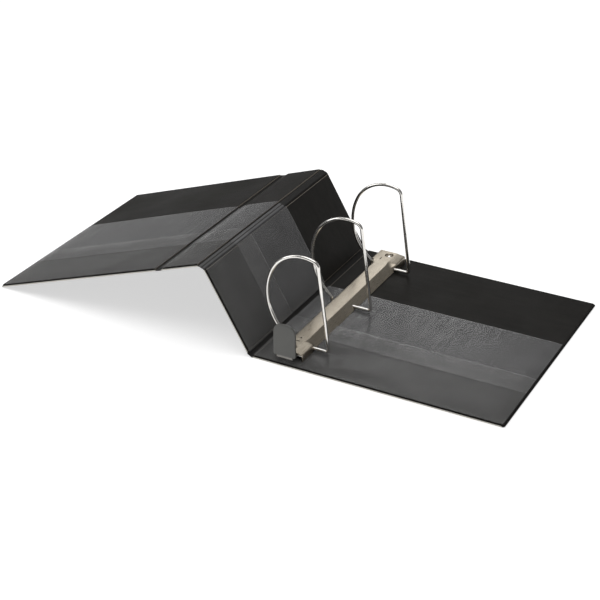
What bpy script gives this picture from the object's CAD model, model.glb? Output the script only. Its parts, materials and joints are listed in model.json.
# Looks of a three-ring slant-D binder that stands open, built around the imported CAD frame.
import json
import math

import bmesh
import bpy
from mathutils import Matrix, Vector, noise


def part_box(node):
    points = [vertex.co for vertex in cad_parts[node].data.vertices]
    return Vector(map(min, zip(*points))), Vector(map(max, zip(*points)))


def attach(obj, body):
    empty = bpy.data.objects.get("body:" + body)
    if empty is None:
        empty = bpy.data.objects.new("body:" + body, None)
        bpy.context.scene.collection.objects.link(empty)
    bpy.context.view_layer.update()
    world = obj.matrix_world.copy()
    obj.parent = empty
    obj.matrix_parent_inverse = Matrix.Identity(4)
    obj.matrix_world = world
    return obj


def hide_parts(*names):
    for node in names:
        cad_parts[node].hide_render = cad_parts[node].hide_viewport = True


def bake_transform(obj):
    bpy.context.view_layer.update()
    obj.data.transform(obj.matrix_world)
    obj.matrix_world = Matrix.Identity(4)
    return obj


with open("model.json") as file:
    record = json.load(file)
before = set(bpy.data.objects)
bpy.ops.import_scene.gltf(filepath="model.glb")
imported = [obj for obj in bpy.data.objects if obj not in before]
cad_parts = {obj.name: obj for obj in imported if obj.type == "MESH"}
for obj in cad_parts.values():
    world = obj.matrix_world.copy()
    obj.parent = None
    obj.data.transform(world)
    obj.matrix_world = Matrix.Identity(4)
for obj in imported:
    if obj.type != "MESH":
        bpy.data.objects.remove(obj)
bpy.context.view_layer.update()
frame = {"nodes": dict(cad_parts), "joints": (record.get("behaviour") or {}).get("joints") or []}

MM = 0.001
JOINTS = {j["name"]: j for j in frame["joints"]}


def collection_add(obj):
    bpy.context.scene.collection.objects.link(obj)
    return obj


# ---- camera, light and floor ------------------------------------------------

FOCAL_MM = 89.65
SENSOR_MM = 36
CAMERA_AT = Vector((0.5741, -1.3898, 0.8645))
CAMERA_AZIMUTH = math.radians(28.14)
CAMERA_ELEVATION = math.radians(28.84)


def add_camera():
    data = bpy.data.cameras.new("camera")
    data.lens = FOCAL_MM
    data.sensor_width = SENSOR_MM
    data.clip_end = 20
    camera = collection_add(bpy.data.objects.new("camera", data))
    camera.location = CAMERA_AT
    camera.rotation_euler = (math.pi / 2 - CAMERA_ELEVATION, 0, CAMERA_AZIMUTH)
    bpy.context.scene.camera = camera


def add_area(name, at, aim, size, power, colour=(1, 1, 1)):
    data = bpy.data.lights.new(name, "AREA")
    data.shape = "RECTANGLE"
    data.size, data.size_y = size
    data.energy = power
    data.color = colour
    light = collection_add(bpy.data.objects.new(name, data))
    light.location = at
    light.rotation_euler = (Vector(aim) - Vector(at)).to_track_quat("-Z", "Y").to_euler()


def add_studio():
    world = bpy.data.worlds.new("studio")
    world.use_nodes = True
    background = world.node_tree.nodes["Background"]
    background.inputs["Color"].default_value = (1, 1, 1, 1)
    background.inputs["Strength"].default_value = 0.2
    bpy.context.scene.world = world
    add_area("overhead", (-0.2, 0.1, 2.2), (-0.1, 0, 0), (2.6, 2.6), 34)
    add_area("left_window", (-1.5, -0.5, 1.0), (-0.1, 0, 0), (0.9, 0.9), 7)
    add_area("back_strip", (-0.75, 1.7, 1.05), (0.1, 0, 0), (0.5, 0.5), 1.6)
    bpy.context.scene.view_settings.view_transform = "Standard"


def add_floor():
    mesh = bpy.data.meshes.new("floor")
    half, low = 6.0, -0.0003
    mesh.from_pydata([(-half, -half, low), (half, -half, low), (half, half, low), (-half, half, low)],
                     [], [(0, 1, 2, 3)])
    floor = collection_add(bpy.data.objects.new("floor", mesh))
    paper = plain_material("floor_paper", (0.7, 0.7, 0.7), 0.8)
    glow = paper.node_tree.nodes["Principled BSDF"].inputs
    glow["Emission Color"].default_value = (1, 1, 1, 1)
    glow["Emission Strength"].default_value = 0.6
    floor.data.materials.append(paper)


# ---- materials --------------------------------------------------------------

def new_material(name):
    material = bpy.data.materials.new(name)
    material.use_nodes = True
    return material, material.node_tree, material.node_tree.nodes["Principled BSDF"]


def plain_material(name, colour, roughness):
    material, _, shader = new_material(name)
    shader.inputs["Base Color"].default_value = (*colour, 1)
    shader.inputs["Roughness"].default_value = roughness
    return material


def node_noise(tree, scale, detail, stretch=(1, 1, 1), roughness=0.5):
    place = tree.nodes.new("ShaderNodeTexCoord")
    mapping = tree.nodes.new("ShaderNodeMapping")
    mapping.inputs["Scale"].default_value = stretch
    texture = tree.nodes.new("ShaderNodeTexNoise")
    texture.inputs["Scale"].default_value = scale
    texture.inputs["Detail"].default_value = detail
    texture.inputs["Roughness"].default_value = roughness
    tree.links.new(place.outputs["Object"], mapping.inputs["Vector"])
    tree.links.new(mapping.outputs["Vector"], texture.inputs["Vector"])
    return texture.outputs["Fac"]


def node_range(tree, value, low, high, span=(0.3, 0.7)):
    ramp = tree.nodes.new("ShaderNodeMapRange")
    ramp.inputs["From Min"].default_value = span[0]
    ramp.inputs["From Max"].default_value = span[1]
    ramp.inputs["To Min"].default_value = low
    ramp.inputs["To Max"].default_value = high
    tree.links.new(value, ramp.inputs["Value"])
    return ramp.outputs["Result"]


def node_mix(tree, value, dark, light):
    mix = tree.nodes.new("ShaderNodeMix")
    mix.data_type = "RGBA"
    mix.inputs["A"].default_value = (*dark, 1)
    mix.inputs["B"].default_value = (*light, 1)
    tree.links.new(value, mix.inputs["Factor"])
    return mix.outputs["Result"]


def node_bump(tree, height, shader, distance, strength):
    bump = tree.nodes.new("ShaderNodeBump")
    bump.inputs["Distance"].default_value = distance
    bump.inputs["Strength"].default_value = strength
    tree.links.new(height, bump.inputs["Height"])
    tree.links.new(bump.outputs["Normal"], shader.inputs["Normal"])
    return bump


def vinyl_material(name, dark, light, rough_low, rough_high, specular):
    """Black embossed vinyl: fine grain, faint streaks along X and slight changes of gloss."""
    material, tree, shader = new_material(name)
    streaks = node_noise(tree, 160, 3, (0.12, 1, 0.5))
    grain = node_noise(tree, 1500, 2)
    patches = node_noise(tree, 14, 3)
    tree.links.new(node_mix(tree, node_range(tree, streaks, 0, 1), dark, light),
                   shader.inputs["Base Color"])
    tree.links.new(node_range(tree, patches, rough_low, rough_high), shader.inputs["Roughness"])
    shader.inputs["Specular IOR Level"].default_value = specular
    height = tree.nodes.new("ShaderNodeMath")
    height.operation = "ADD"
    tree.links.new(grain, height.inputs[0])
    tree.links.new(streaks, height.inputs[1])
    node_bump(tree, height.outputs["Value"], shader, 0.0002, 0.5)
    return material


def film_material(name, dark, light, haze, rough_low, rough_high):
    """Clear film: a thin glossy layer whose haze says how much it hides what is under it."""
    material, tree, shader = new_material(name)
    cloud = node_noise(tree, 22, 3, (1, 1.6, 1))
    brushed = node_noise(tree, 260, 3, (1, 0.12, 0.6))
    tree.links.new(node_mix(tree, node_range(tree, cloud, 0, 1), dark, light),
                   shader.inputs["Base Color"])
    tree.links.new(node_range(tree, brushed, rough_low, rough_high), shader.inputs["Roughness"])
    shader.inputs["Alpha"].default_value = haze
    shader.inputs["IOR"].default_value = 1.5
    node_bump(tree, brushed, shader, 0.00004, 0.2)
    return material


def metal_material(name, dark, light, rough_low, rough_high, stretch, bump_strength):
    """Plated steel with fine lines along the stretched axis, and faint stains."""
    material, tree, shader = new_material(name)
    lines = node_noise(tree, 500, 4, stretch)
    stains = node_noise(tree, 35, 4)
    tree.links.new(node_mix(tree, node_range(tree, stains, 0, 1), dark, light),
                   shader.inputs["Base Color"])
    tree.links.new(node_range(tree, lines, rough_low, rough_high), shader.inputs["Roughness"])
    shader.inputs["Metallic"].default_value = 1
    node_bump(tree, lines, shader, 0.00005, bump_strength)
    return material


def moulded_material(name, dark, light, rough_low, rough_high):
    """Moulded plastic with a fine spark-eroded texture."""
    material, tree, shader = new_material(name)
    grain = node_noise(tree, 2200, 2)
    tone = node_noise(tree, 40, 3)
    tree.links.new(node_mix(tree, node_range(tree, tone, 0, 1), dark, light),
                   shader.inputs["Base Color"])
    tree.links.new(node_range(tree, tone, rough_low, rough_high), shader.inputs["Roughness"])
    node_bump(tree, grain, shader, 0.00006, 0.35)
    return material


def board_material():
    material, tree, shader = new_material("grey_board")
    fibre = node_noise(tree, 600, 4, (1, 0.3, 1))
    tree.links.new(node_mix(tree, fibre, (0.12, 0.105, 0.085), (0.2, 0.18, 0.15)),
                   shader.inputs["Base Color"])
    shader.inputs["Roughness"].default_value = 0.9
    node_bump(tree, fibre, shader, 0.0001, 0.4)
    return material


VINYL = vinyl_material("black_vinyl", (0.007, 0.0062, 0.005), (0.011, 0.0098, 0.008), 0.5, 0.62, 0.17)
WELD = vinyl_material("vinyl_weld", (0.005, 0.0045, 0.004), (0.008, 0.0072, 0.006), 0.4, 0.52, 0.22)
UPPER_FILM = film_material("upper_film", (0.15, 0.149, 0.15), (0.2, 0.199, 0.201), 0.42, 0.24, 0.34)
LOWER_FILM = film_material("lower_film", (0.2, 0.198, 0.196), (0.26, 0.258, 0.255), 0.22, 0.2, 0.3)
OVERLAY = film_material("overlay_film", (0.1, 0.1, 0.1), (0.13, 0.13, 0.13), 0.2, 0.08, 0.14)
BEAD = moulded_material("overlay_bead", (0.5, 0.48, 0.43), (0.64, 0.62, 0.57), 0.25, 0.4)
NICKEL = metal_material("satin_nickel", (0.41, 0.36, 0.29), (0.49, 0.44, 0.36), 0.24, 0.38,
                        (6, 0.15, 6), 0.15)
CHROME = metal_material("bright_nickel", (0.74, 0.72, 0.68), (0.84, 0.82, 0.79), 0.07, 0.16, (1, 1, 1), 0.1)
STEEL = metal_material("plain_steel", (0.17, 0.165, 0.155), (0.24, 0.23, 0.215), 0.34, 0.48, (1, 1, 1), 0.2)
LEVER = moulded_material("lever_plastic", (0.078, 0.078, 0.072), (0.096, 0.096, 0.089), 0.42, 0.52)
BOARD = board_material()
FILM_EDGE = film_material("film_edge", (0.24, 0.24, 0.24), (0.32, 0.32, 0.32), 0.6, 0.2, 0.3)
FILMED_LOWER = vinyl_material("filmed_lower", (0.045, 0.045, 0.045), (0.06, 0.06, 0.06), 0.3, 0.4, 0.5)
FILMED_OVERLAP = vinyl_material("filmed_overlap", (0.095, 0.095, 0.096), (0.11, 0.11, 0.112), 0.3, 0.4, 0.5)
FILMED_UPPER = vinyl_material("filmed_upper", (0.07, 0.07, 0.071), (0.085, 0.085, 0.087), 0.3, 0.4, 0.5)


# ---- mesh helpers -----------------------------------------------------------

def make_object(name, points, faces, material, smooth=True):
    mesh = bpy.data.meshes.new(name)
    mesh.from_pydata([tuple(p) for p in points], [], faces)
    mesh.validate()
    builder = bmesh.new()
    builder.from_mesh(mesh)
    bmesh.ops.recalc_face_normals(builder, faces=builder.faces)
    builder.to_mesh(mesh)
    builder.free()
    obj = collection_add(bpy.data.objects.new(name, mesh))
    obj.data.materials.append(material)
    if smooth:
        obj.data.polygons.foreach_set("use_smooth", [True] * len(obj.data.polygons))
        obj.data.set_sharp_from_angle(angle=math.radians(38))
    return obj


def loft(rings, hollow=False):
    """Faces between rings of equal length. The ends are capped, or join up when it is hollow."""
    count, total = len(rings[0]), len(rings)
    points = [p for ring in rings for p in ring]
    faces = []
    for i in range(total if hollow else total - 1):
        here, ahead = i * count, (i + 1) % total * count
        for j in range(count):
            k = (j + 1) % count
            faces.append((here + j, here + k, ahead + k, ahead + j))
    if not hollow:
        faces.append(tuple(range(count)))
        faces.append(tuple((total - 1) * count + j for j in range(count)))
    return points, faces


def grid_slab(place, us, ys, top, thickness):
    """A thin closed sheet over the grid us by ys, whose upper side is at height top(u, y)."""
    nu, ny = len(us), len(ys)
    points = [place(u, y, top(u, y)) for u in us for y in ys]
    points += [place(u, y, top(u, y) - thickness) for u in us for y in ys]
    low = nu * ny
    faces = []
    for i in range(nu - 1):
        for j in range(ny - 1):
            a = i * ny + j
            faces.append((a, a + 1, a + ny + 1, a + ny))
            faces.append((low + a, low + a + ny, low + a + ny + 1, low + a + 1))
    edge = [i * ny for i in range(nu)] + [(nu - 1) * ny + j for j in range(1, ny)]
    edge += [i * ny + ny - 1 for i in range(nu - 2, -1, -1)] + list(range(ny - 2, 0, -1))
    for a, b in zip(edge, edge[1:] + edge[:1]):
        faces.append((a, b, b + low, a + low))
    return points, faces


def steps(start, end, spacing):
    count = max(1, round(abs(end - start) / spacing))
    return [start + (end - start) * i / count for i in range(count + 1)]


def smooth_step(value):
    value = min(max(value, 0.0), 1.0)
    return value * value * (3 - 2 * value)


# ---- cover panels -----------------------------------------------------------

FOLD_T = 0.5 * MM
COVER_T = 3.0 * MM
EDGE_GAP = 1.0 * MM
CORNER_R = 3.0 * MM
Y_NEAR, Y_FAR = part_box("back_outer_vinyl")[0].y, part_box("back_outer_vinyl")[1].y


class Panel:
    """One cover panel: u runs along it from its fold line, t through it from its outer face."""

    def __init__(self, body, start, along, side, width, free):
        self.body, self.start, self.along, self.width, self.free = body, start, along, width, free
        self.inner = Vector((-along.z, 0, along.x)) * side

    def place(self, u, y, t):
        return self.start + self.along * u + self.inner * (t - FOLD_T) + Vector((0, y, 0))

    def outline(self, inset):
        """Outline of the panel in u and y, inset from its edges, with round free corners."""
        u0 = EDGE_GAP + inset
        u1 = self.width - (inset if self.free else EDGE_GAP + inset)
        y0, y1 = Y_NEAR + inset, Y_FAR - inset
        radius = max(CORNER_R - inset, 0.4 * MM) if self.free else 0.4 * MM
        points = []
        for u, y, first, r in ((u0, y0, 180, 0.4 * MM), (u1, y0, 270, radius),
                               (u1, y1, 0, radius), (u0, y1, 90, 0.4 * MM)):
            centre_u = u + r if u == u0 else u - r
            centre_y = y + r if y == y0 else y - r
            for k in range(6):
                angle = math.radians(first + 18 * k)
                points.append((centre_u + r * math.cos(angle), centre_y + r * math.sin(angle)))
        return points


def joint_at(name):
    return Vector(JOINTS[name]["pos_m"])


def make_panels():
    back_start = joint_at("spine_fold_inner")
    back = Panel("back", back_start, Vector((1, 0, 0)), 1,
                 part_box("back_outer_vinyl")[1].x - back_start.x, True)
    panels = [back]
    for body, first, last in (("spine", "spine_fold_outer", "ridge_fold_inner"),
                              ("strip", "ridge_fold_outer", "crease_fold_inner")):
        line = joint_at(last) - joint_at(first)
        panels.append(Panel(body, joint_at(first), line.normalized(), -1, line.length, False))
    along = panels[-1].along
    start = joint_at("crease_fold_outer")
    front = Panel("front", start, along, -1, 0, True)
    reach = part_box("front_outer_vinyl")[0].x - start.x - front.inner.x * (COVER_T - FOLD_T)
    front.width = reach / along.x
    return panels + [front]


PANELS = make_panels()

# Sections of a panel's skins, as inset from the edge and height above the outer face
SHELL = ((6, 0.22), (1.4, 0.22), (0.5, 0.28), (0.1, 0.5), (0, 0.8), (0.08, 1.1), (0.35, 1.3),
         (1.3, 1.32), (1.55, 1.2), (1.62, 0.9))
LINING = ((1.62, 0.9), (1.66, 1.25), (1.72, 2.1), (1.85, 2.62), (2.2, 2.9), (2.9, 2.99),
          (4.5, 3.0))
OVERLAY_SECTION = ((5, 0.0), (0.7, 0.0), (0.7, 0.2), (5, 0.2))
BEAD_SECTION = ((-0.9, 0.02), (-0.2, 0.04), (0.12, 0.3), (0.15, 1.15), (0.02, 1.4), (-0.4, 1.4))


def skin(panel, name, section, material):
    rings = [[panel.place(u, y, t * MM) for u, y in panel.outline(inset * MM)]
             for inset, t in section]
    points, faces = loft(rings)
    obj = make_object(f"{panel.body}_{name}", points, faces, material)
    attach(obj, panel.body)
    return obj


def panel_skins(panel):
    shell = skin(panel, "shell", SHELL, VINYL)
    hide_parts(f"{panel.body}_outer_vinyl")
    lining = skin(panel, "lining", LINING, VINYL)
    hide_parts(f"{panel.body}_inner_vinyl")
    overlay = skin(panel, "clear_overlay", OVERLAY_SECTION, OVERLAY)
    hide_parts(f"{panel.body}_overlay")
    for side, edge, where in ((-1, Y_NEAR, "near"), (1, Y_FAR, "far")):
        rings = [[panel.place(u, edge + side * out * MM, t * MM) for out, t in BEAD_SECTION]
                 for u in steps(1.2 * MM, panel.width - (3.2 if panel.free else 1.2) * MM, 20 * MM)]
        bead = make_object(f"{panel.body}_overlay_bead_{where}", *loft(rings), BEAD)
        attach(bead, panel.body)


# ---- pocket films -----------------------------------------------------------

FILM_T = 0.15 * MM
LOWER_TOP = 101 * MM
UPPER_BOTTOM = 70 * MM
UPPER_TOP = 186 * MM
SIDE_WELD = 0.9 * MM
SIDE_FADE, BOTTOM_FADE = 14 * MM, 20 * MM
FAN_DEPTH = 0.45 * MM
FILM_EDGE_W = 0.6 * MM
# The films lie flat this far to each side of a ring and along from its foot, then rise again
CALM_BESIDE, CALM_ALONG, CALM_FADE = 5 * MM, 10 * MM, 14 * MM


def ring_calm(panel, u, y):
    """Nothing where a ring comes down on the film or leans against it, and one away from there."""
    beside = min(abs(y + Y_NEAR - k * RING_PITCH) for k in (-1, 0, 1))
    along = 0
    if panel.body == "back":
        along = abs(panel.place(u, y, 0).x - MECH_X - LEG_FOOT_X) - CALM_ALONG
    elif panel.body != "spine":
        return 1
    return smooth_step(max(beside - CALM_BESIDE, along) / CALM_FADE)


def film_swell(panel, u, y, y0, y1, open_gap, wave, seed):
    """How far a film stands off the vinyl: nothing at its welds, most along its open top edge."""
    sides = (smooth_step((u - SIDE_WELD) / SIDE_FADE)
             * smooth_step((panel.width - SIDE_WELD - u) / SIDE_FADE))
    up = smooth_step((y - y0) / BOTTOM_FADE)
    lift = open_gap * (0.35 + 0.65 * smooth_step((y - y0) / (y1 - y0)))
    slow = noise.noise(Vector((u * 9, y * 14, seed)))
    fold = noise.noise(Vector(((u + y) * 22, (y - u) * 5, seed + 7)))
    swell = lift * (1 + 0.5 * slow) + wave * (1.3 + 0.6 * slow + 0.7 * fold)
    return sides * up * swell * ring_calm(panel, u, y)


def fan_folds(u, y):
    """Loose folds that spread from the near corner beside the lever."""
    du, dy = u - 20 * MM, y + 25 * MM
    reach = math.hypot(du, dy)
    fade = smooth_step(reach / (60 * MM)) * (1 - smooth_step((reach - 90 * MM) / (130 * MM)))
    bend = noise.noise(Vector((u * 12, y * 12, 2.5)))
    return FAN_DEPTH * fade * (1 + math.sin(math.atan2(dy, du) * 15 + 1.5 * bend))


def film_lines(y0, y1, spacing=3 * MM):
    """Grid lines shared by both tiers, so that one film never crosses the other."""
    first, last = math.floor(y0 / spacing) + 1, math.ceil(y1 / spacing) - 1
    middle = [k * spacing + Y_NEAR for k in range(first, last + 1)]
    return [y0 + Y_NEAR] + middle + [y1 - FILM_EDGE_W + Y_NEAR, y1 + Y_NEAR]


def pocket_films(panel):
    seed = 3.0 * PANELS.index(panel)
    us = steps(SIDE_WELD, panel.width - (2.6 * MM if panel.free else SIDE_WELD), 3 * MM)

    def upper_top(u, y):
        swell = film_swell(panel, u, y - Y_NEAR, UPPER_BOTTOM, UPPER_TOP, 0.35 * MM, 0.25 * MM, seed)
        return COVER_T + FILM_T + 0.02 * MM + swell

    def lower_top(u, y):
        off = film_swell(panel, u, y - Y_NEAR, 1.5 * MM, LOWER_TOP, 0.3 * MM, 0.25 * MM, seed + 40)
        if panel.body == "back":
            off += (fan_folds(u, y - Y_NEAR) * smooth_step((y - Y_NEAR) / (18 * MM))
                    * ring_calm(panel, u, y - Y_NEAR))
        under = max(upper_top(u, y) - COVER_T, 0) if y - Y_NEAR > UPPER_BOTTOM - 3 * MM else 0
        return COVER_T + FILM_T + 0.05 * MM + off + under

    for tier, top, y0, y1, material in (("upper", upper_top, UPPER_BOTTOM, UPPER_TOP, UPPER_FILM),
                                        ("lower", lower_top, 1.8 * MM, LOWER_TOP, LOWER_FILM)):
        points, faces = grid_slab(panel.place, us, film_lines(y0, y1), top, FILM_T)
        film = make_object(f"{panel.body}_{tier}_film", points, faces, material)
        film.data.materials.append(FILM_EDGE)
        for face in film.data.polygons:
            face.material_index = int(face.center.y > Y_NEAR + y1 - FILM_EDGE_W)
        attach(film, panel.body)
        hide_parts(f"{panel.body}_pocket_{tier}")


# ---- hinge webs -------------------------------------------------------------

WEB_T = 0.8 * MM
WEB_HALF = 3.0 * MM
FLAP_REACH = 1.25 * MM
BEND_SPREAD = 1.6 * MM
PANEL_LIFT = 0.06 * MM
# The ridge and the crease look filmed but for a bare line, this wide to either side of their middle
BARE_LINES = {"ridge_web": 0.5 * MM, "crease_web": 1.7 * MM}


def film_zone(y):
    """0 for bare vinyl, else the number of the film tier that covers it."""
    heights = (0, UPPER_BOTTOM, LOWER_TOP, UPPER_TOP)
    for k in range(3):
        if heights[k] <= y - Y_NEAR < heights[k + 1]:
            return k + 1
    return 0


def hinge_half(name, web, fold, web_dir, panel_dir, inner_web, inner_panel):
    """Half a web, from its middle over one fold line onto the panel beside it."""
    rows = []
    for k in range(-10, 7):
        s = k / 10 * WEB_HALF if k < 0 else k / 6 * FLAP_REACH
        direction = -web_dir if s < 0 else panel_dir
        blend = smooth_step(0.5 + s / BEND_SPREAD)
        normal = (inner_web * (1 - blend) + inner_panel * blend).normalized()
        centre = fold + direction * abs(s)
        lift = PANEL_LIFT * blend
        rows.append((centre + normal * (WEB_T / 2 + lift), centre - normal * (WEB_T / 2 - lift)))
    ring = [top for top, _ in rows] + [bottom for _, bottom in reversed(rows)]
    ys = sorted(steps(Y_NEAR, Y_FAR, 30 * MM) + [Y_NEAR + y for y in (UPPER_BOTTOM, LOWER_TOP, UPPER_TOP)])
    points, faces = loft([[p + Vector((0, y, 0)) for p in ring] for y in ys])
    obj = make_object(name, points, faces, WELD)
    if web in BARE_LINES:
        for material in (FILMED_LOWER, FILMED_OVERLAP, FILMED_UPPER):
            obj.data.materials.append(material)
        for face in obj.data.polygons:
            from_middle = WEB_HALF - (face.center - fold).dot(-web_dir)
            if face.normal.dot(inner_panel) > 0.5 and from_middle > BARE_LINES[web]:
                face.material_index = film_zone(face.center.y)
    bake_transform(obj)
    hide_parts(web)


def hinge_webs():
    by_body = {p.body: p for p in PANELS}
    for web, first, last, before, after in (
            ("spine_web", "spine_fold_inner", "spine_fold_outer", "back", "spine"),
            ("ridge_web", "ridge_fold_inner", "ridge_fold_outer", "spine", "strip"),
            ("crease_web", "crease_fold_inner", "crease_fold_outer", "strip", "front")):
        a, b = joint_at(first), joint_at(last)
        line = (b - a).normalized()
        inner_web = Vector((line.z, 0, -line.x))
        one, two = by_body[before], by_body[after]
        into_first = one.along if before == "back" else -one.along
        hinge_half(f"{web}_first_fold", web, a, -line, into_first, inner_web, one.inner)
        hinge_half(f"{web}_second_fold", web, b, line, two.along, inner_web, two.inner)


# ---- rings ------------------------------------------------------------------

RING_PITCH = 107.95 * MM
WIRE_R = 2.0 * MM
FOOT_Z = 6.5 * MM
LEG_FOOT_X, HEEL_X = 35.2 * MM, -16.2 * MM
LOW_R, HIGH_R, CROWN_R, FLANK_R = 3.6 * MM, 9.0 * MM, 43.0 * MM, 66.0 * MM
HEEL_R, FOOT_R = 2.5 * MM, 2.6 * MM
LEG_SLANT, HIGH_TURN, CROWN_TURN, FLANK_TURN, SPLIT_TURN = 8.0, 65.0, 82.0, 71.0, 20.0
LEG_LEN = 99.0 * MM
RIGHT_PEG_X, LEFT_PEG_X = 3.0 * MM, -9.2 * MM
MECH_X = (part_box("lever_cover")[0].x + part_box("lever_cover")[1].x) / 2


class Walk:
    """A path in the XZ plane made of straights and turns."""

    def __init__(self, x, z, heading):
        self.x, self.z, self.heading = x, z, heading
        self.points = [(x, z)]

    def forward(self, length, spacing=4 * MM):
        angle = math.radians(self.heading)
        count = max(1, round(length / spacing))
        for k in range(1, count + 1):
            self.points.append((self.x + length * k / count * math.cos(angle),
                                self.z + length * k / count * math.sin(angle)))
        self.x, self.z = self.points[-1]
        return self

    def left(self, radius, turn):
        """A turn to the left; a negative radius and turn make one to the right."""
        start = math.radians(self.heading)
        centre = (self.x - radius * math.sin(start), self.z + radius * math.cos(start))
        count = max(6, round(abs(turn) / 4))
        for k in range(1, count + 1):
            angle = start + math.radians(turn) * k / count
            self.points.append((centre[0] + radius * math.sin(angle), centre[1] - radius * math.cos(angle)))
        self.x, self.z = self.points[-1]
        self.heading += turn
        return self


def ring_paths():
    """Centre lines of the right and the left half, from their feet to the split and back."""
    right = Walk(RIGHT_PEG_X, FOOT_Z, 0).forward(LEG_FOOT_X - LOW_R - RIGHT_PEG_X)
    right.left(LOW_R, 90 + LEG_SLANT).forward(LEG_LEN).left(HIGH_R, HIGH_TURN).left(CROWN_R, SPLIT_TURN)
    left = Walk(right.x, right.z, right.heading).left(CROWN_R, CROWN_TURN - SPLIT_TURN)
    left.left(FLANK_R, FLANK_TURN)
    slope = math.radians(left.heading)
    left.forward((HEEL_X - HEEL_R * (1 + math.sin(slope)) - left.x) / math.cos(slope))
    left.left(-HEEL_R, 270 - left.heading).forward(left.z - FOOT_Z - FOOT_R, 1 * MM)
    left.left(FOOT_R, 90).forward(LEFT_PEG_X - left.x)
    return right.points, left.points


def tube(name, path, y, split_end, material):
    """Round wire along a path, with a chamfered end at the split and a round end at the foot."""
    sides = 20
    points = [Vector((MECH_X + x, y, z)) for x, z in path]
    tangents = []
    for i, p in enumerate(points):
        ahead, behind = points[min(i + 1, len(points) - 1)], points[max(i - 1, 0)]
        tangents.append((ahead - behind).normalized())
    stations = [(p, t, WIRE_R) for p, t in zip(points, tangents)]
    gap, chamfer = 0.06 * MM, 0.3 * MM
    first, last = stations[0], stations[-1]
    if split_end == "last":
        p, t, r = last
        stations[-1:] = [(p - t * (gap + chamfer), t, r), (p - t * gap, t, r - chamfer)]
        stations[:1] = [(first[0] - first[1] * r * k, first[1], r * math.sqrt(1 - k * k))
                        for k in (0.97, 0.7, 0.35, 0)]
    else:
        p, t, r = first
        stations[:1] = [(p + t * gap, t, r - chamfer), (p + t * (gap + chamfer), t, r)]
        stations[-1:] = [(last[0] + last[1] * r * k, last[1], r * math.sqrt(1 - k * k))
                         for k in (0, 0.35, 0.7, 0.97)]
    rings = []
    for p, t, r in stations:
        across = Vector((0, 1, 0))
        up = t.cross(across)
        rings.append([p + (across * math.cos(a) + up * math.sin(a)) * r
                      for a in (2 * math.pi * k / sides for k in range(sides))])
    return make_object(name, *loft(rings), material)


def rings():
    right, left = ring_paths()
    for k, where in ((-1, "near"), (0, "middle"), (1, "far")):
        for side, path, split_end in (("right", right, "last"), ("left", left, "first")):
            node = f"{side}_ring_{where}"
            wire = tube(f"{node}_wire", path, k * RING_PITCH, split_end, CHROME)
            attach(wire, f"{side}_jaw")
            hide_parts(node)


# ---- housing ----------------------------------------------------------------

SHEET = 1.0 * MM
HOUSING_Z = 3.0 * MM
PAD_FROM, PAD_FULL = 36 * MM, 24 * MM
RIVET_INSET = 9 * MM
RIVET_X = -0.5 * MM
# Corners of the housing's section and of its end pads, each with the radius of its bend
MID_SECTION = ((-16.4, 0.6, 0), (-9.75, 11, 1.8), (7.75, 11, 1.8), (12.1, 5.3, 25), (15.9, 1.1, 0))
PAD_SECTION = ((-16.75, 0.1, 0), (-16.75, 11, 1.6), (5.8, 11, 2.2), (17.2, 9.2, 1.8), (17.25, 0.1, 0))


def fillet(corners, arc_steps=6):
    """Points along an open outline, given as points and bend radii."""
    points = []
    for i, (here, r) in enumerate(corners):
        if i in (0, len(corners) - 1):
            points.append(here)
            continue
        before = (corners[i - 1][0] - here).normalized()
        after = (corners[i + 1][0] - here).normalized()
        half = before.angle(after) / 2
        cut_back = r / math.tan(half)
        centre = here + (before + after).normalized() * (r / math.sin(half))
        a, b = here + before * cut_back - centre, here + after * cut_back - centre
        for k in range(arc_steps + 1):
            points.append(centre + (a * (1 - k / arc_steps) + b * (k / arc_steps)).normalized() * r)
    return points


def inner_corners(corners, depth):
    """The same corners moved inwards, to the right of the walk, by a sheet's thickness."""
    sides = []
    for (a, _), (b, _) in zip(corners, corners[1:]):
        along = (b - a).normalized()
        sides.append((a, along, Vector((along.y, -along.x)) * depth))
    moved = [(corners[0][0] + sides[0][2], 0)]
    for i in range(1, len(corners) - 1):
        here, r = corners[i]
        turn = sides[i - 1][1] + sides[i][1]
        mitre = Vector((turn.y, -turn.x)).normalized()
        reach = depth / mitre.dot(sides[i][2].normalized())
        moved.append((here + mitre * reach, max(r - depth, depth / 4)))
    return moved + [(corners[-1][0] + sides[-1][2], 0)]


def section_ring(section):
    corners = [(Vector((x, z)) * MM, r * MM) for x, z, r in section]
    return fillet(corners) + list(reversed(fillet(inner_corners(corners, SHEET))))


def cut(obj, cutters):
    for cutter in cutters:
        modifier = obj.modifiers.new("cut", "BOOLEAN")
        modifier.operation = "DIFFERENCE"
        modifier.solver = "EXACT"
        modifier.object = cutter
    bpy.context.view_layer.update()
    evaluated = obj.evaluated_get(bpy.context.evaluated_depsgraph_get())
    mesh = bpy.data.meshes.new_from_object(evaluated)
    obj.modifiers.clear()
    obj.data = mesh
    for cutter in cutters:
        bpy.data.objects.remove(cutter)
    obj.data.polygons.foreach_set("use_smooth", [True] * len(obj.data.polygons))
    obj.data.set_sharp_from_angle(angle=math.radians(30))


def cutter_prism(outline, low, high, axis):
    """A straight cutter: outline is a list of pairs across the axis, in the order X, Y, Z."""
    rings = []
    for depth in (low, high):
        ring = []
        for a, b in outline:
            ring.append({"X": Vector((depth, a, b)), "Y": Vector((a, depth, b)),
                         "Z": Vector((a, b, depth))}[axis])
        rings.append(ring)
    return make_object("cutter", *loft(rings), NICKEL, smooth=False)


def round_outline(x, y, radius, sides=32):
    return [(x + radius * math.cos(2 * math.pi * k / sides), y + radius * math.sin(2 * math.pi * k / sides))
            for k in range(sides)]


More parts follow.
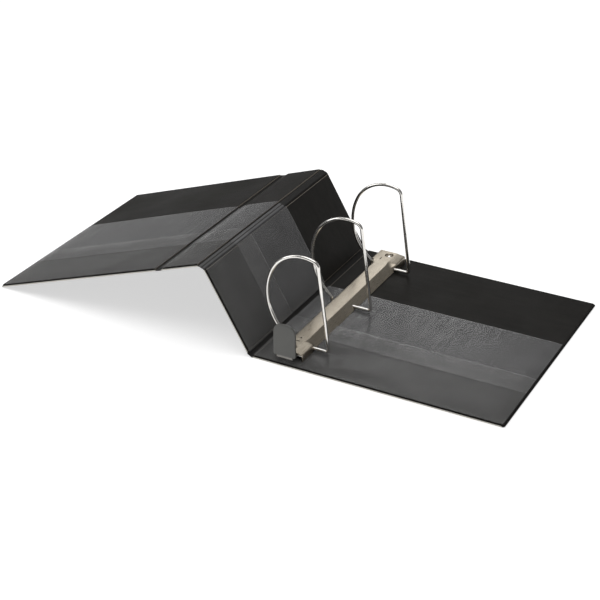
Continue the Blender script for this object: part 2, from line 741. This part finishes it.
def slot_outline(y, half, bottom, top):
    """A slot with a round top, in Y and Z."""
    arc = [(y + half * math.cos(math.radians(a)), top - half + half * math.sin(math.radians(a)))
           for a in range(0, 181, 20)]
    return [(y - half, bottom), (y + half, bottom)] + arc


def housing_cutters(high, roof):
    cutters = []
    for s in (-1, 1):
        cutters.append(cutter_prism(round_outline(MECH_X + RIVET_X, s * (high.y - RIVET_INSET), 5.5 * MM),
                                    roof - 4 * MM, roof + 1 * MM, "Z"))
    for k in (-1, 0, 1):
        y = k * RING_PITCH
        cutters.append(cutter_prism(slot_outline(y, 3.0 * MM, -1 * MM, FOOT_Z + 3.1 * MM),
                                    MECH_X - 18 * MM, MECH_X - 8.2 * MM, "X"))
        cutters.append(cutter_prism(slot_outline(y, 2.4 * MM, -1 * MM, FOOT_Z + 2.45 * MM),
                                    MECH_X + 8 * MM, MECH_X + 19 * MM, "X"))
        if k:
            notch = round_outline(MECH_X + HEEL_X, y, 3.2 * MM)
            cutters.append(cutter_prism(notch, FOOT_Z, roof + 1 * MM, "Z"))
    near_slot = ((MECH_X - 3.5 * MM, Y_NEAR + 35.9 * MM), (MECH_X + 1.5 * MM, Y_NEAR + 37.1 * MM))
    far_slot = ((MECH_X - 7.1 * MM, high.y - 23.5 * MM), (MECH_X - 5.9 * MM, high.y - 18.5 * MM))
    for (x0, y0), (x1, y1) in (near_slot, far_slot):
        corners = [(x0, y0), (x1, y0), (x1, y1), (x0, y1)]
        cutters.append(cutter_prism(corners, roof - 3 * MM, roof + 1 * MM, "Z"))
    cutters.append(cutter_prism(round_outline(MECH_X - 1 * MM, Y_NEAR + 44 * MM, 1.2 * MM, 20),
                                roof - 3 * MM, roof + 1 * MM, "Z"))
    return cutters


def housing_shell():
    low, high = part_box("housing")
    roof = high.z
    mid, pad = section_ring(MID_SECTION), section_ring(PAD_SECTION)
    loops = []
    for y in steps(low.y, high.y, 2 * MM):
        share = smooth_step((abs(y) - (high.y - PAD_FROM)) / (PAD_FROM - PAD_FULL))
        loops.append([Vector((MECH_X + m.x + (p.x - m.x) * share, y,
                              HOUSING_Z + m.y + (p.y - m.y) * share))
                      for m, p in zip(mid, pad)])
    shell = make_object("housing_shell", *loft(loops), NICKEL)
    cut(shell, housing_cutters(high, roof))
    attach(shell, "back")
    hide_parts("housing")
    return roof


# Profiles, as radius and height: the cup's from the roof, the head's from the cup's floor and the
# stem's from the table
CUP = ((5.9, -0.02), (5.6, 0.02), (5.1, -0.15), (4.7, -0.7), (4.3, -1.9), (3.6, -2.3),
       (2.3, -2.35), (2.3, -3.2), (4.2, -3.2), (5.4, -2.2), (5.7, -0.9))
RIVET_HEAD = ((0.4, 1.75), (1.3, 1.62), (2.3, 1.2), (3.0, 0.6), (3.15, 0.15), (3.0, 0), (2.1, 0))
RIVET_STEM = ((2.1, 0.5), (4.5, 0.5), (4.5, 0.25), (4.2, 0.02), (1, 0.01))
CUP_DEPTH = 2.35 * MM


def raised(profile, z):
    return [(r, z + height * MM) for r, height in profile]


def lathe(name, profile, x, y, material, hollow=False, sides=40):
    loops = [[Vector((x + r * MM * math.cos(a), y + r * MM * math.sin(a), z))
              for a in (2 * math.pi * k / sides for k in range(sides))] for r, z in profile]
    return make_object(name, *loft(loops, hollow), material)


def cups_and_rivets(roof):
    high_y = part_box("housing")[1].y
    for s, where in ((-1, "near"), (1, "far")):
        x, y = MECH_X + RIVET_X, s * (high_y - RIVET_INSET)
        pressed = lathe(f"rivet_cup_{where}", raised(CUP, roof), x, y, NICKEL, hollow=True)
        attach(pressed, "back")
        profile = raised(RIVET_HEAD, roof - CUP_DEPTH) + raised(RIVET_STEM, 0)
        rivet = lathe(f"rivet_{where}", profile, x, y, CHROME)
        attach(rivet, "back")
        if s < 0:
            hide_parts("housing_rivets")


# ---- lever ------------------------------------------------------------------

LEVER_R, LEVER_CROWN = 10.5 * MM, 24 * MM
LEVER_CHAMFER = 1.2 * MM
# The moulding's edge, as inset and depth from its near face
LEVER_SECTION = ((3.2, 0.0), (1.2, 0.02), (0.5, 0.12), (0.12, 0.42), (0, 0.85), (0, 2.3),
                 (0.15, 2.75), (0.6, 3.0), (3.2, 3.0))


def lever_cover():
    """The thumb lever's plastic cover, with round shoulders and a slightly arched top."""
    low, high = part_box("lever_cover")
    half = (high.x - low.x) / 2

    def outline(inset):
        r = LEVER_R - inset
        w, top, bottom = half - inset, high.z - inset, low.z + inset
        points = [(-w + LEVER_CHAMFER, bottom), (w - LEVER_CHAMFER, bottom), (w, bottom + LEVER_CHAMFER)]
        for k in range(9):
            angle = math.radians(90 * k / 8)
            points.append((w - r + r * math.cos(angle), top - r + r * math.sin(angle)))
        points += [(-x, z) for x, z in reversed(points[3:])] + [(-w, bottom + LEVER_CHAMFER)]
        arch = top - LEVER_CROWN
        return [(x, z - max(0, z - (arch + math.sqrt(LEVER_CROWN ** 2 - x * x)))) for x, z in points]

    loops = [[Vector((MECH_X + x, low.y + d * MM, z)) for x, z in outline(inset * MM)]
             for inset, d in LEVER_SECTION]
    cover = make_object("lever_moulding", *loft(loops), LEVER)
    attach(cover, "lever")
    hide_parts("lever_cover")


def finish_cad_nodes():
    looks = {"lever_arm": STEEL, "lever_pin": CHROME, "travel_bar": STEEL, "left_plate": STEEL,
             "right_plate": STEEL}
    looks.update({f"{p.body}_board": BOARD for p in PANELS})
    for name, material in looks.items():
        node = frame["nodes"][name]
        node.data.materials.clear()
        node.data.materials.append(material)


add_camera()
add_studio()
add_floor()
for cover_panel in PANELS:
    panel_skins(cover_panel)
    pocket_films(cover_panel)
hinge_webs()
rings()
cups_and_rivets(housing_shell())
lever_cover()
finish_cad_nodes()
